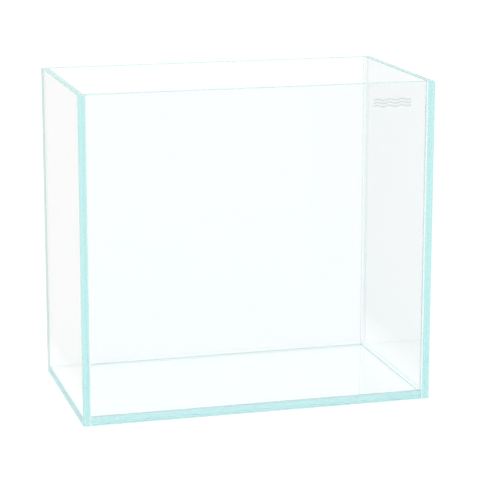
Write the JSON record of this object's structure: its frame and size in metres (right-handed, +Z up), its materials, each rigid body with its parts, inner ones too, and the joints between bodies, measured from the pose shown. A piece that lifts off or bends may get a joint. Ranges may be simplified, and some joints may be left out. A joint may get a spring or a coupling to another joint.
{
  "type": "rimless glass aquarium tank",
  "caption": "Rimless open-top aquarium tank of low-iron glass panes with aqua cut ends, clear silicone joints and a small printed ripple mark.",
  "frame": {"origin": "middle of the underside, on the surface that the tank stands on", "axes": "+X to the right and +Y to the back as the marked pane is faced, +Z up to the open rim"},
  "size_m": [0.3, 0.1681, 0.273],
  "materials": {
    "glass": "clear low-iron float glass, polished ends with an aqua tint",
    "joint_silicone": "clear silicone, faintly milky, in the joints",
    "bead_silicone": "clear silicone, tooled smooth, in the inner corners",
    "mark": "thin silver-grey screen print, satin"
  },
  "bodies": {
    "root": {"front_pane": "glass", "back_pane": "glass", "left_pane": "glass", "right_pane": "glass", "base_pane": "glass", "bond_front_left": "joint_silicone", "bond_front_right": "joint_silicone", "bond_back_left": "joint_silicone", "bond_back_right": "joint_silicone", "bond_base_front": "joint_silicone", "bond_base_back": "joint_silicone", "bond_base_left": "joint_silicone", "bond_base_right": "joint_silicone", "seal_front_left": "bead_silicone", "seal_front_right": "bead_silicone", "seal_back_left": "bead_silicone", "seal_back_right": "bead_silicone", "seal_base_front": "bead_silicone", "seal_base_back": "bead_silicone", "seal_base_left": "bead_silicone", "seal_base_right": "bead_silicone", "ripple_badge": "mark"}
  },
  "joints": []
}
